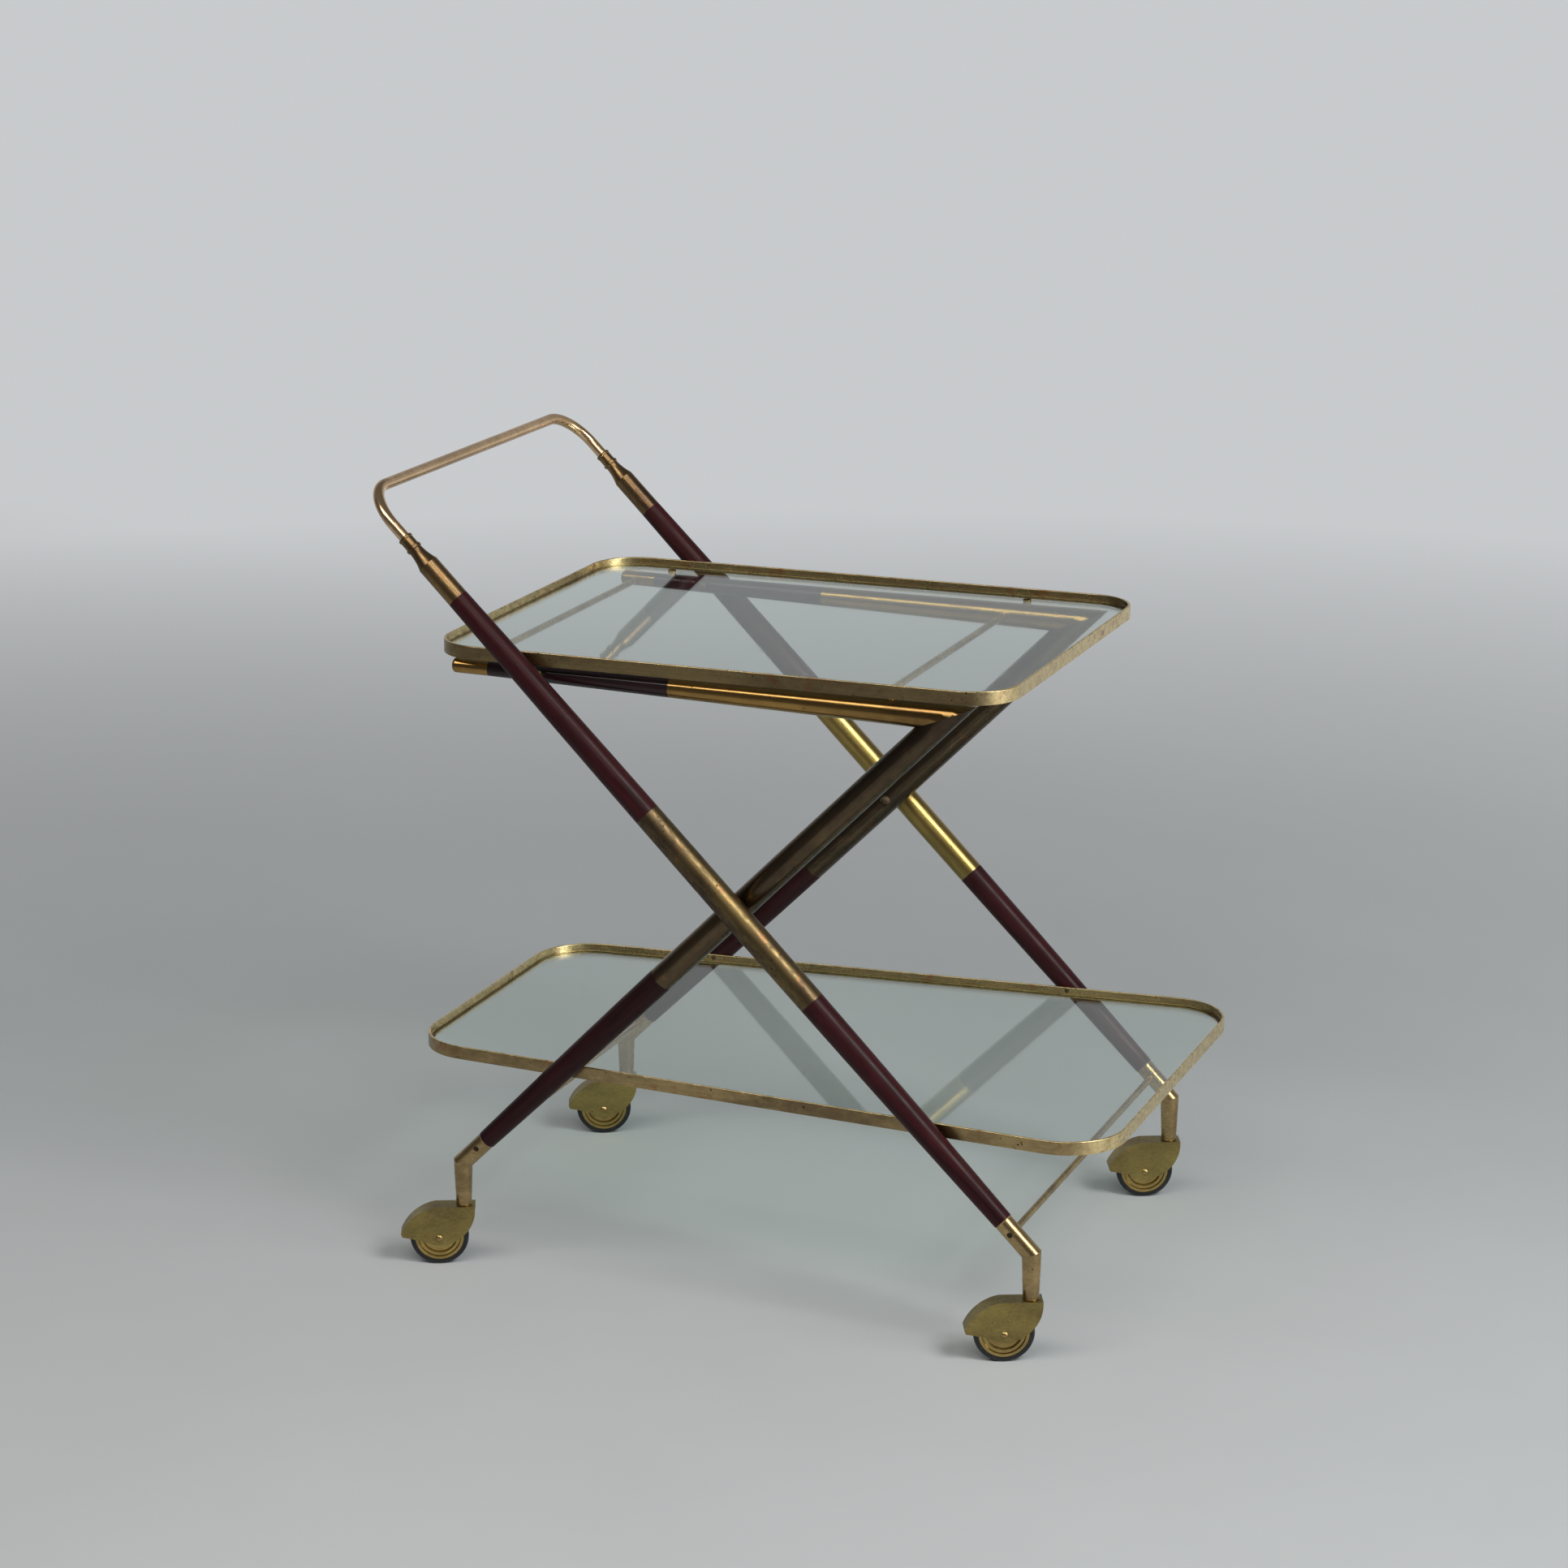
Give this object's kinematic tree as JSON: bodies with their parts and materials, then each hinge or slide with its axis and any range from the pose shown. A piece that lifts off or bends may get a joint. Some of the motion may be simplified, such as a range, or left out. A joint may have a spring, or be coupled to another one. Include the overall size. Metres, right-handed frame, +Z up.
{
  "type": "bar cart",
  "caption": "Bar cart with crossed legs of brass and wood, a bent-tube push handle, glass trays in brass bands and hooded swivel casters.",
  "frame": {"origin": "on the floor at the middle of the footprint", "axes": "+X forwards away from the push handle, +Y to the left of a person at the handle, +Z up"},
  "size_m": [0.72, 0.4916, 0.7543],
  "materials": {
    "aged_brass": "aged turned brass, satin with dark spots",
    "handle_brass": "brass worn bright by hands",
    "band_brass": "aged brass strip, spotted",
    "hood_brass": "dull sheet brass with mottled patina",
    "wheel_brass": "pressed brass, worn",
    "mahogany": "dark mahogany with a polished lacquer",
    "tray_glass": "clear float glass with a faint green edge",
    "tyre_rubber": "black rubber, worn on the tread"
  },
  "bodies": {
    "frame": {"handle_tube": "handle_brass", "handle_ferrule_right": "aged_brass", "handle_leg_upper_wood_right": "mahogany", "handle_leg_sleeve_right": "aged_brass", "handle_leg_lower_wood_right": "mahogany", "handle_leg_foot_right": "aged_brass", "tray_leg_sleeve_right": "aged_brass", "tray_leg_wood_right": "mahogany", "tray_leg_foot_right": "aged_brass", "rail_sleeve_right": "aged_brass", "rail_wood_right": "mahogany", "rail_cap_right": "aged_brass", "handle_ferrule_left": "aged_brass", "handle_leg_upper_wood_left": "mahogany", "handle_leg_sleeve_left": "aged_brass", "handle_leg_lower_wood_left": "mahogany", "handle_leg_foot_left": "aged_brass", "tray_leg_sleeve_left": "aged_brass", "tray_leg_wood_left": "mahogany", "tray_leg_foot_left": "aged_brass", "rail_sleeve_left": "aged_brass", "rail_wood_left": "mahogany", "rail_cap_left": "aged_brass", "rail_rod_rear": "aged_brass", "rail_rod_front": "aged_brass", "foot_rod_front": "aged_brass", "foot_rod_rear": "aged_brass", "crossing_bosses": "aged_brass", "crossing_bolts": "aged_brass", "crossing_plugs": "aged_brass", "tie_bosses": "aged_brass", "tie_screws": "aged_brass", "rod_end_screws": "aged_brass", "lower_tray_screws": "aged_brass", "tray_rests": "aged_brass", "lower_tray_band": "band_brass", "lower_tray_glass": "tray_glass"},
    "upper_tray": {"upper_tray_band": "band_brass", "upper_tray_glass": "tray_glass"},
    "caster_front_right": {"caster_hood_front_right": "hood_brass", "caster_stem_front_right": "aged_brass", "caster_axle_front_right": "aged_brass"},
    "wheel_front_right": {"wheel_disc_front_right": "wheel_brass", "tyre_front_right": "tyre_rubber"},
    "caster_front_left": {"caster_hood_front_left": "hood_brass", "caster_stem_front_left": "aged_brass", "caster_axle_front_left": "aged_brass"},
    "wheel_front_left": {"wheel_disc_front_left": "wheel_brass", "tyre_front_left": "tyre_rubber"},
    "caster_rear_right": {"caster_hood_rear_right": "hood_brass", "caster_stem_rear_right": "aged_brass", "caster_axle_rear_right": "aged_brass"},
    "wheel_rear_right": {"wheel_disc_rear_right": "wheel_brass", "tyre_rear_right": "tyre_rubber"},
    "caster_rear_left": {"caster_hood_rear_left": "hood_brass", "caster_stem_rear_left": "aged_brass", "caster_axle_rear_left": "aged_brass"},
    "wheel_rear_left": {"wheel_disc_rear_left": "wheel_brass", "tyre_rear_left": "tyre_rubber"}
  },
  "joints": [
    {"name": "swivel_front_right", "type": "hinge", "parent": "frame", "child": "caster_front_right", "pos_m": [0.29252, -0.21205, 0.0603], "axis": [0, 0, 1], "continuous": true},
    {"name": "spin_front_right", "type": "hinge", "parent": "caster_front_right", "child": "wheel_front_right", "pos_m": [0.27059, -0.22181, 0.028], "axis": [-0.4067, 0.9135, 0], "continuous": true},
    {"name": "swivel_front_left", "type": "hinge", "parent": "frame", "child": "caster_front_left", "pos_m": [0.29252, 0.23235, 0.0603], "axis": [0, 0, 1], "continuous": true},
    {"name": "spin_front_left", "type": "hinge", "parent": "caster_front_left", "child": "wheel_front_left", "pos_m": [0.27059, 0.22259, 0.028], "axis": [-0.4067, 0.9135, 0], "continuous": true},
    {"name": "swivel_rear_right", "type": "hinge", "parent": "frame", "child": "caster_rear_right", "pos_m": [-0.28392, -0.18435, 0.0603], "axis": [0, 0, 1], "continuous": true},
    {"name": "spin_rear_right", "type": "hinge", "parent": "caster_rear_right", "child": "wheel_rear_right", "pos_m": [-0.30584, -0.19411, 0.028], "axis": [-0.4067, 0.9135, 0], "continuous": true},
    {"name": "swivel_rear_left", "type": "hinge", "parent": "frame", "child": "caster_rear_left", "pos_m": [-0.28392, 0.20465, 0.0603], "axis": [0, 0, 1], "continuous": true},
    {"name": "spin_rear_left", "type": "hinge", "parent": "caster_rear_left", "child": "wheel_rear_left", "pos_m": [-0.30584, 0.19489, 0.028], "axis": [-0.4067, 0.9135, 0], "continuous": true},
    {"name": "upper_tray_lift", "type": "slide", "parent": "frame", "child": "upper_tray", "axis": [0, 0, 1], "range_m": [0, 0.12]}
  ]
}
